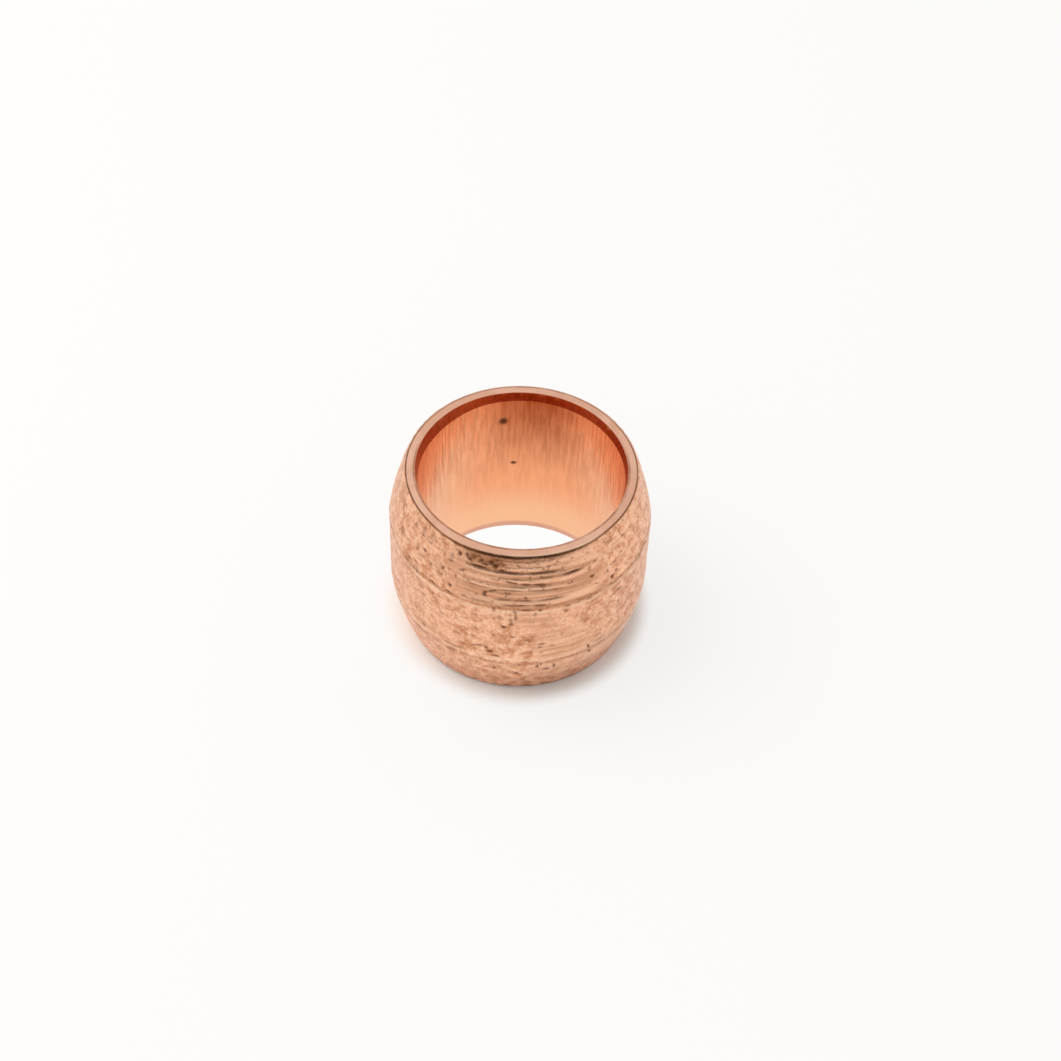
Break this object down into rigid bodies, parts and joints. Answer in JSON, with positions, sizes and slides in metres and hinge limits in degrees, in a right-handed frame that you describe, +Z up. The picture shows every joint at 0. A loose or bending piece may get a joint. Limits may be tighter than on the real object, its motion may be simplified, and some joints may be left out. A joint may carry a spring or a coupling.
{
  "type": "tube ferrule",
  "caption": "Copper compression ring with a plain bore and two tapered ends, which seals a small tube in a compression fitting.",
  "frame": {"origin": "centre of the lower end face, on the axis of the bore", "axes": "+Z up along the bore, X and Y across it"},
  "size_m": [0.0104, 0.0104, 0.0081],
  "materials": {
    "copper": null
  },
  "bodies": {
    "root": {"ferrule": "copper"}
  },
  "joints": []
}
